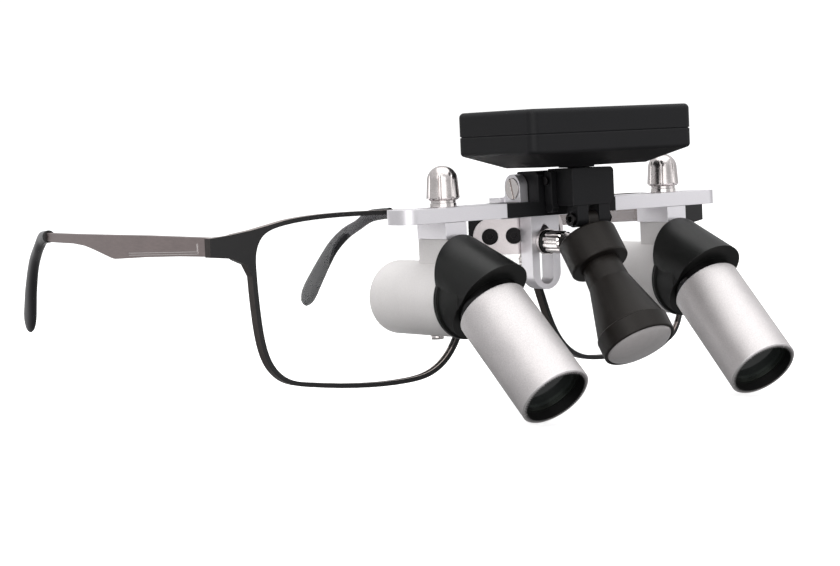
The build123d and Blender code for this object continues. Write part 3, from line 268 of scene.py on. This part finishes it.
M["plastic"] = finish("black_plastic", lin(28, 28, 30), lin(18, 18, 20), rough=0.52, rough_spread=0.06, specular=0.22,
                      blotch=80, grain=3600, bump=0.45, bump_mm=0.014, bump_scale=3400, edge_mm=0.25,
                      wear_and_highlight_colour=lin(56, 56, 58), wear_and_highlight_amount=0.4).mat
M["prism"] = finish("prism_housing_black", lin(22, 23, 22), lin(13, 14, 13), rough=0.40, rough_spread=0.06, ior=1.5,
                    specular=0.30, blotch=55, grain=2600, bump=0.25, bump_mm=0.010, bump_scale=2600, edge_mm=0.22,
                    wear_and_highlight_colour=lin(56, 56, 55), wear_and_highlight_amount=0.35).mat
M["neck"] = finish("neck_black", lin(18, 17, 17), lin(9, 9, 9), rough=0.2, metallic=0.3, ior=1.5, bump=0.1,
                   bump_mm=0.004, edge_mm=0.08).mat
M["oring"] = finish("oring_rubber", lin(24, 24, 24), lin(14, 14, 14), rough=0.5, ior=1.45, bump=0.3, bump_mm=0.01,
                    bump_scale=2500, edge_mm=0).mat
M["pcb"] = finish("circuit_board", lin(26, 78, 48), lin(18, 58, 36), rough=0.4, bump=0.3, bump_mm=0.01,
                  bump_scale=900, edge_mm=0.05).mat
M["cell"] = finish("cell_wrap", lin(188, 190, 196), lin(160, 162, 170), rough=0.3, metallic=0.6, bump=0.25,
                   bump_mm=0.02, bump_scale=500, edge_mm=0.2).mat
M["led"] = finish("led_phosphor", lin(232, 214, 96), lin(214, 196, 82), rough=0.5, bump=0.2, bump_mm=0.01,
                  bump_scale=1500, edge_mm=0.05).mat
M["coated"] = finish("objective_coating", lin(52, 56, 54), lin(38, 42, 41), rough=0.07, rough_spread=0.02, ior=1.6,
                     blotch=160, grain=1200, contrast=0.3, bump=0.02, bump_mm=0.004, bump_scale=300, edge_mm=0).mat
M["dome"] = finish("lamp_dome_grey", lin(196, 191, 191), lin(172, 168, 168), rough=0.12, rough_spread=0.04, ior=1.55,
                   blotch=130, grain=900, contrast=0.4, bump=0.03, bump_mm=0.01, bump_scale=400, edge_mm=0,
                   coat=0.6, coat_rough=0.05).mat
M["chrome"] = finish("knob_chrome", lin(226, 220, 219), lin(196, 190, 188), rough=0.24, rough_spread=0.05,
                     metallic=1.0, blotch=240, grain=4200, bump=0.06, bump_mm=0.003, edge_mm=0).mat
M["optic"] = glass("objective_glass", (0.90, 0.93, 0.92, 1.0), rough=0.02).mat
M["lamp_optic"] = glass("collimator_glass", (0.97, 0.97, 0.97, 1.0), rough=0.015).mat
M["lens"] = glass("spectacle_lens", (0.985, 0.987, 0.987, 1.0), rough=0.0, smear=0.0).mat
# The left lens is a darker copy of the same clear lens: painted shade.
M["lens_painted_shade"] = glass("spectacle_lens_left_painted_shade", (0.80, 0.80, 0.805, 1.0), rough=0.0, smear=0.0).mat
M["silicone"] = glass("pad_silicone", (0.93, 0.93, 0.92, 1.0), rough=0.25, ior=1.41, smear=0.15).mat


def dress(node, *names):
    """Puts finishes in a CAD node's material slots."""
    me = N[node].data
    me.materials.clear()
    for n in names:
        me.materials.append(M[n])
    for p in me.polygons:
        p.material_index = 0
    return me


def barrel_axis(side):
    """Axis of a telescope's objective barrel: its direction from the given declination and toe-in, and a point on it in
    the middle of the barrel's far ring.
    """
    name = "objective_barrel_" + ("right" if side < 0 else "left")
    co = [v.co.copy() for v in N[name].data.vertices]
    decl = math.radians(42.7)
    toe = math.radians(3.9)
    d = Vector((-side * math.sin(toe) * math.cos(decl), -math.cos(toe) * math.cos(decl), -math.sin(decl)))
    far = max(c.dot(d) for c in co)
    ring = [c for c in co if c.dot(d) > far - 0.0002]
    return sum(ring, Vector()) / len(ring), d


SIMPLE = {
    "paint": ["eyepiece_tube_right", "eyepiece_tube_left"],
    "prism": ["prism_housing_right", "prism_housing_left"],
    "neck": ["barrel_neck_right", "barrel_neck_left"],
    "retainer": ["lens_retainer_right", "lens_retainer_left"],
    "optic": ["eyepiece_lens_right", "eyepiece_lens_left", "prism_right", "prism_left"],
    "coated": ["objective_lens_right", "objective_lens_left"],
    "silver": ["slot_plate", "clamp_block_right", "clamp_block_left", "arm_right", "arm_left"],
    "bracket": ["bridge_plate"],
    "screw_black": ["bridge_screws", "latch_pin", "lamp_tilt_screw"],
    "steel": ["top_knob_right", "top_knob_left", "knob_washer_right", "knob_washer_left", "height_knob",
              "height_knob_washer", "pivot_screws", "hinge_screws", "nose_pad_arms"],
    "oring": ["height_knob_oring"],
    "plastic": ["hinge_block", "lamp_holder", "latch", "pod_lower", "pod_upper", "pod_post", "power_button",
                "bridge_saddle"],
    "anod": ["lamp_heatsink", "lamp_body", "lamp_bezel"],
    "lamp_optic": ["lamp_lens"],
    "lens": ["lens_right"],
    "lens_painted_shade": ["lens_left"],
    "silicone": ["nose_pad_right", "nose_pad_left"],
    "temple_metal": ["temple_right", "temple_left"],
    "tip_black": ["temple_tip_right", "temple_tip_left"],
    "pcb": ["driver_board"],
    "cell": ["battery_cell"],
    "led": ["lamp_led"],
}
for finish_name, members in SIMPLE.items():
    for node in members:
        dress(node, finish_name)
dress("charge_port", "steel")

# spectacle front: matt black face, bare metal edges; faces turned upward take a lighter copy of the metal (painted
# highlight) and the other flanks a darker copy (painted shade)
me = dress("frame_front", "frame_face", "frame_painted_highlight_top", "frame_painted_shade_sides")
for p in me.polygons:
    if abs(p.normal.y) > 0.75:
        p.material_index = 0
    else:
        # upward faces get the painted highlight copy, the rest the painted shade copy
        p.material_index = 1 if p.normal.z > 0.55 else 2

# objective barrels: silver outside and on the rim, black inside
for side, name in ((-1, "right"), (1, "left")):
    me = dress("objective_barrel_" + name, "alu", "bore")
    o, d = barrel_axis(side)
    for p in me.polygons:
        r = p.center - o
        away = r - d * r.dot(d)
        inward = away.normalized().dot(p.normal)
        if away.length < 7.30 * MM or inward < -0.5:
            p.material_index = 1


# ------------------------------------------------------------------ pieces that the eye comes close to
def mesh_piece(name, verts, faces, finish_name, body, smooth=True):
    me = bpy.data.meshes.new(name)
    me.from_pydata([tuple(v) for v in verts], [], faces)
    me.update()
    bm = bmesh.new()
    bm.from_mesh(me)
    bmesh.ops.remove_doubles(bm, verts=bm.verts, dist=1e-7)
    bmesh.ops.recalc_face_normals(bm, faces=bm.faces)
    bm.to_mesh(me)
    bm.free()
    for p in me.polygons:
        p.use_smooth = smooth
    me.materials.append(M[finish_name])
    ob = bpy.data.objects.new(name, me)
    bpy.context.scene.collection.objects.link(ob)
    me.set_sharp_from_angle(angle=math.radians(38))
    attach(ob, body)
    return ob


def lathe(name, origin, axis, profile, finish_name, body, seg=96, shape=None):
    """Turned part: profile is (radius, height along axis) in mm from one pole to the other; shape(r, h, angle) may
    change a radius to cut grooves."""
    axis = Vector(axis).normalized()
    u = axis.orthogonal().normalized()
    w = axis.cross(u)
    verts, faces = [], []
    for r, h in profile:
        for i in range(seg):
            a = 2 * math.pi * i / seg
            rr = shape(r, h, a) if shape else r
            verts.append((Vector(origin) + axis * h + (u * math.cos(a) + w * math.sin(a)) * rr) * MM)
    for k in range(len(profile) - 1):
        for i in range(seg):
            j = (i + 1) % seg
            faces.append((k * seg + i, k * seg + j, (k + 1) * seg + j, (k + 1) * seg + i))
    if profile[0][0] > 0.01:
        faces.append(tuple(range(seg))[::-1])
    if profile[-1][0] > 0.01:
        faces.append(tuple((len(profile) - 1) * seg + i for i in range(seg)))
    return mesh_piece(name, verts, faces, finish_name, body)


# top knobs: bullet shape with eight narrow grooves that run out below the dome, and a collar under the skirt
KNOB_Z = ZB + 1.6 + 0.95


def knob_profile():
    pts = [(1.55, 5.2), (1.55, 0.02), (2.75, 0.02), (2.75, 0.55), (3.2, 0.62), (3.5, 0.9)]
    pts += [(3.66 - 0.075 * (h - 1.0), h) for h in (1.1, 1.6, 2.2, 2.8, 3.4, 4.0, 4.6)]
    r0, h0, top = 3.66 - 0.075 * 3.9, 4.9, 8.1
    pts += [(r0 * math.cos(t), h0 + (top - h0) * math.sin(t)) for t in [math.radians(5 * q) for q in range(0, 18)]]
    return pts + [(0.002, top)]


def knob_shape(r, h, a):
    if r < 1.6 or h < 0.6:
        return r
    step = math.pi / 4
    off = abs((a + step / 2) % step - step / 2) * r
    deep = 0.30 * max(0.0, 1 - (off / 0.34) ** 4) * max(0.0, min(1.0, (6.6 - h) / 1.3))
    return r - deep


for side, name in ((-1, "right"), (1, "left")):
    k = lathe("knob_" + name, (side * 31.5, -30.75, KNOB_Z), (0, 0, 1), knob_profile(), "chrome", "ipd_knob_" + name,
              seg=288, shape=knob_shape)
    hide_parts("top_knob_" + name)

# temple tips: round-section sleeves that dip behind the ear and widen to a paddle
TIP_LINE = [  # |x| (refitted below), y, z from the bar plane, half width across the hook, half thickness
    (57.92, 122.6, -5.05, 1.35, 1.05), (57.9, 123.0, -5.08, 1.62, 1.2), (57.0, 126.5, -5.3, 1.72, 1.28),
    (55.4, 131.0, -6.0, 1.85, 1.3), (53.9, 136.0, -8.5, 1.62, 1.3), (52.2, 141.5, -11.2, 1.9, 1.3),
    (50.4, 146.5, -15.0, 2.2, 1.3), (48.9, 150.5, -19.6, 2.6, 1.3), (47.6, 154.0, -24.4, 3.1, 1.3),
    (46.8, 157.0, -28.8, 3.4, 1.25), (46.5, 158.8, -31.2, 2.9, 1.1), (46.35, 160.0, -32.8, 1.7, 0.75)]


def catmull(a, b, c, d, t):
    return tuple(0.5 * (2 * q + (r - p) * t + (2 * p - 5 * q + 4 * r - s) * t * t + (3 * q - p - 3 * r + s) * t ** 3)
                 for p, q, r, s in zip(a, b, c, d))


def tip_mesh(side, name):
    line = [Vector(p[:3]) for p in TIP_LINE]
    rows = []
    for i in range(len(TIP_LINE) - 1):
        p = TIP_LINE[max(i - 1, 0)]
        q, r = TIP_LINE[i], TIP_LINE[i + 1]
        s = TIP_LINE[min(i + 2, len(TIP_LINE) - 1)]
        for t in range(6):
            rows.append(catmull(p, q, r, s, t / 6))
    rows.append(TIP_LINE[-1])
    fixed = []
    for x, y, z, a, b in rows:
        fixed.append((TIP_X(y), y, z, a, b))
    verts, faces, seg = [], [], 40
    for i, (x, y, z, a, b) in enumerate(fixed):
        pt = Vector((side * x, y, ZB + z))
        n = fixed[min(i + 1, len(fixed) - 1)]
        m = fixed[max(i - 1, 0)]
        tan = Vector((side * (n[0] - m[0]), n[1] - m[1], n[2] - m[2])).normalized()
        out = Vector((side, 0, 0))
        out = (out - tan * out.dot(tan)).normalized()
        up = tan.cross(out).normalized()
        for k in range(seg):
            an = 2 * math.pi * k / seg
            c, sn = math.cos(an), math.sin(an)
            e = 0.85
            verts.append((pt + out * (b * math.copysign(abs(c) ** e, c)) + up * (a * math.copysign(abs(sn) ** e, sn))) * MM)
    for i in range(len(fixed) - 1):
        for k in range(seg):
            j = (k + 1) % seg
            faces.append((i * seg + k, i * seg + j, (i + 1) * seg + j, (i + 1) * seg + k))
    last = (len(fixed) - 1) * seg
    end = Vector((side * fixed[-1][0], fixed[-1][1] + 0.25, ZB + fixed[-1][2] - 0.75)) * MM
    verts.append(end)
    e_i = len(verts) - 1
    for k in range(seg):
        faces.append((last + k, last + (k + 1) % seg, e_i))
    faces.append(tuple(range(seg))[::-1])
    t = mesh_piece("tip_" + name, verts, faces, "tip_black", "temple_" + name + "_body")
    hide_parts("temple_tip_" + name)
    return t


def TIP_X(y):
    """Middle of the temple in plan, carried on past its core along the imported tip's own curve."""
    rows = TIP_ROWS
    for (ya, xa), (yb, xb) in zip(rows, rows[1:]):
        if ya <= y <= yb:
            return xa + (xb - xa) * (y - ya) / (yb - ya)
    return rows[-1][1] if y > rows[-1][0] else rows[0][1]


def tip_rows():
    core = {}
    for node in ("temple_tip_right",):
        for v in N[node].data.vertices:
            core.setdefault(round(v.co.y / MM / 4) * 4, []).append((v.co.y / MM, abs(v.co.x) / MM))
    rows = []
    for key in sorted(core):
        ps = core[key]
        if len(ps) >= 4:
            ym = sum(p[0] for p in ps) / len(ps)
            rows.append((ym, (min(p[1] for p in ps) + max(p[1] for p in ps)) / 2))
    return rows


TIP_ROWS = tip_rows()
for side, name in ((-1, "right"), (1, "left")):
    tip_mesh(side, name)

# collar between the metal and the moulded tip
for side, name in ((-1, "right"), (1, "left")):
    y = 122.2
    a = Vector((side * TIP_X(y), y, ZB - 5.05))
    b = Vector((side * TIP_X(y + 2), y + 2, ZB - 5.08))
    lathe("tip_collar_" + name, a, b - a, [(1.2, 0.0), (1.62, 0.05), (1.7, 0.2), (1.7, 0.7), (1.6, 0.85), (1.2, 0.9)],
          "neck", "temple_" + name + "_body", seg=48)

# two fine raised lines along the lower edge of each temple's broad part, turned up at the hinge end
def stripe(side, name, label, off):
    pts = []
    for q in range(25):
        y = 52.0 - (52.0 - 8.2 - off) * q / 24
        pts.append((y, -8.62 + off + (52.0 - y) * 0.0322))
    pts += [(8.2 + off, -4.1 - off * 0.3)]
    verts, faces = [], []
    src = N["temple_" + name].data
    tree = BVHTree.FromPolygons([v.co.copy() for v in src.vertices], [tuple(p.vertices) for p in src.polygons])

    for i, (y, z) in enumerate(pts):
        n = pts[min(i + 1, len(pts) - 1)]
        m = pts[max(i - 1, 0)]
        d = Vector((0, n[0] - m[0], n[1] - m[1])).normalized()
        w = Vector((0, -d.z, d.y)) * 0.11
        hit = tree.ray_cast(Vector((side * 90.0, y, ZB + z)) * MM, Vector((-side, 0, 0)))[0]
        if hit is None:
            continue
        c = hit / MM
        for o, h in ((w, -0.06), (w * 0.6, 0.05), (w * -0.6, 0.05), (w * -1, -0.06)):
            verts.append((c + o + Vector((side * h, 0, 0))) * MM)
    for i in range(len(verts) // 4 - 1):
        for k in range(3):
            faces.append((i * 4 + k, i * 4 + k + 1, i * 4 + k + 5, i * 4 + k + 4))
    return mesh_piece("temple_line_" + name + label, verts, faces, "steel", "temple_" + name + "_body")


for side, name in ((-1, "right"), (1, "left")):
    stripe(side, name, "_a", 0.55)
    stripe(side, name, "_b", 1.05)

# lamp lens: polished dome standing just inside the bezel
LA = math.radians(54.0)
LAX = Vector((0, -math.cos(LA), -math.sin(LA)))
LTOP = Vector((0, -40.65, ZB - 6.8))
BEZ = 28.75 - 4.4
dome = [(0.003, BEZ - 3.8), (3.4, BEZ - 3.6), (5.0, BEZ - 2.4), (6.35, BEZ + 0.5), (6.4, BEZ + 0.82), (7.62, BEZ + 0.84),
        (7.62, BEZ + 3.9)]
for q in range(1, 19):
    t = math.radians(90 * q / 18)
    dome.append((7.62 * math.cos(t) if q < 18 else 0.003, BEZ + 3.9 + 2.0 * math.sin(t)))
d = lathe("lamp_dome", LTOP, LAX, dome, "dome", "lamp", seg=120)
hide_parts("lamp_lens")

# set screw under each eyepiece tube
for side, name in ((-1, "right"), (1, "left")):
    lo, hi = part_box("eyepiece_tube_" + name)
    x, y = side * 31.5, (lo[1] + hi[1]) / 2 / MM - 2.0
    z = ZB - 18.4 - 8.25
    lathe("tube_screw_" + name, (x, y, z + 0.9), (0, 0, -1),
          [(0.7, 0.0), (0.7, 0.85), (1.45, 0.86), (1.5, 1.05), (1.5, 1.55), (1.35, 1.75), (0.72, 1.75), (0.72, 1.2),
           (0.003, 1.1)], "steel", "telescope_" + name, seg=48)


# ------------------------------------------------------------------ stage, lights, camera
def camera():
    az, el, roll, f = math.radians(-34.2), math.radians(3.87), math.radians(2.63), 2092.06
    back = Vector((math.sin(az) * math.cos(el), -math.cos(az) * math.cos(el), math.sin(el)))
    right = Vector((math.cos(az), math.sin(az), 0.0))
    up = back.cross(right)
    c, s = math.cos(roll), math.sin(roll)
    r2, u2 = c * right - s * up, s * right + c * up
    cam = bpy.data.cameras.new("camera")
    cam.sensor_width = 36.0
    cam.lens = f * 36.0 / 840.0
    cam.clip_start = 0.01
    ob = bpy.data.objects.new("camera", cam)
    bpy.context.scene.collection.objects.link(ob)
    m = Matrix((r2, u2, back)).transposed().to_4x4()
    m.translation = Vector((-0.29238, -0.40419, 0.03013))
    ob.matrix_world = m
    bpy.context.scene.camera = ob
    return ob


CAM = camera()


def area(name, loc, target, size, energy, colour=(1, 1, 1), size_y=None):
    li = bpy.data.lights.new(name, "AREA")
    li.shape = "RECTANGLE"
    li.size = size
    li.size_y = size_y or size
    li.energy = energy
    li.color = colour
    ob = bpy.data.objects.new(name, li)
    bpy.context.scene.collection.objects.link(ob)
    ob.location = loc
    ob.rotation_euler = (Vector(target) - Vector(loc)).to_track_quat("-Z", "Y").to_euler()
    return ob


area("key_softbox", (-0.62, -0.42, 0.50), (0.0, 0.0, 0.0), 0.55, 1.35, (1.0, 0.985, 0.97))
area("camera_fill", (-0.50, -0.70, 0.10), (0.0, 0.0, 0.0), 0.8, 2.6)
area("top_softbox", (0.05, -0.05, 0.62), (0.0, 0.0, 0.0), 0.8, 2.6)
area("fill_right", (0.55, -0.55, 0.15), (0.0, -0.02, 0.0), 0.5, 0.5, (0.98, 0.98, 1.0))

world = bpy.data.worlds.new("studio")
bpy.context.scene.world = world
world.use_nodes = True
wt = world.node_tree
wt.nodes.clear()
w_out = wt.nodes.new("ShaderNodeOutputWorld")
w_bg = wt.nodes.new("ShaderNodeBackground")
w_tc = wt.nodes.new("ShaderNodeTexCoord")
w_xyz = wt.nodes.new("ShaderNodeSeparateXYZ")
w_ramp = wt.nodes.new("ShaderNodeValToRGB")
w_map = wt.nodes.new("ShaderNodeMapRange")
w_path = wt.nodes.new("ShaderNodeLightPath")
w_see = wt.nodes.new("ShaderNodeMath")
w_see.operation = "MAXIMUM"
w_mix = wt.nodes.new("ShaderNodeMixShader")
w_white = wt.nodes.new("ShaderNodeBackground")
w_white.inputs["Color"].default_value = (1.0, 1.0, 1.0, 1.0)
w_white.inputs["Strength"].default_value = 1.08
w_bg.inputs["Strength"].default_value = 1.0
wt.links.new(w_tc.outputs["Generated"], w_xyz.inputs[0])
wt.links.new(w_xyz.outputs["Z"], w_map.inputs["Value"])
w_map.inputs["From Min"].default_value = -1.0
w_map.inputs["From Max"].default_value = 1.0
wt.links.new(w_map.outputs[0], w_ramp.inputs[0])
e = w_ramp.color_ramp.elements
e[0].position, e[0].color = 0.0, (0.22, 0.22, 0.22, 1)
e[1].position, e[1].color = 1.0, (0.80, 0.80, 0.80, 1)
for pos, v in ((0.35, 0.30), (0.48, 0.56), (0.60, 0.66), (0.80, 0.78)):
    k = e.new(pos)
    k.color = (v, v, v * 1.01, 1)
wt.links.new(w_ramp.outputs[0], w_bg.inputs["Color"])
wt.links.new(w_path.outputs["Is Camera Ray"], w_see.inputs[0])
wt.links.new(w_path.outputs["Is Transmission Ray"], w_see.inputs[1])
wt.links.new(w_see.outputs[0], w_mix.inputs[0])
wt.links.new(w_bg.outputs[0], w_mix.inputs[1])
wt.links.new(w_white.outputs[0], w_mix.inputs[2])
wt.links.new(w_mix.outputs[0], w_out.inputs[0])

# floor
floor_me = bpy.data.meshes.new("floor")
bm = bmesh.new()
low = min(v[2] for v in CAD_BOX)
fz = low - 0.0005
half = 6.0
bm.faces.new([bm.verts.new(c) for c in ((-half, -half, fz), (half, -half, fz), (half, half, fz), (-half, half, fz))])
bm.to_mesh(floor_me)
bm.free()
floor = bpy.data.objects.new("floor", floor_me)
bpy.context.scene.collection.objects.link(floor)
g = Graph("floor_white")
g.link(g.mix(g.noise(3.0, 3.0), (0.90, 0.90, 0.90, 1), (0.93, 0.93, 0.93, 1)), g.bsdf.inputs["Base Color"])
g.bsdf.inputs["Roughness"].default_value = 0.9
g.bsdf.inputs["Specular IOR Level"].default_value = 0.0
g.bsdf.inputs["Emission Color"].default_value = (1, 1, 1, 1)
g.bsdf.inputs["Emission Strength"].default_value = 0.62
floor_me.materials.append(g.mat)
floor.visible_diffuse = False
floor.visible_glossy = False

bpy.context.scene.view_settings.view_transform = "Standard"
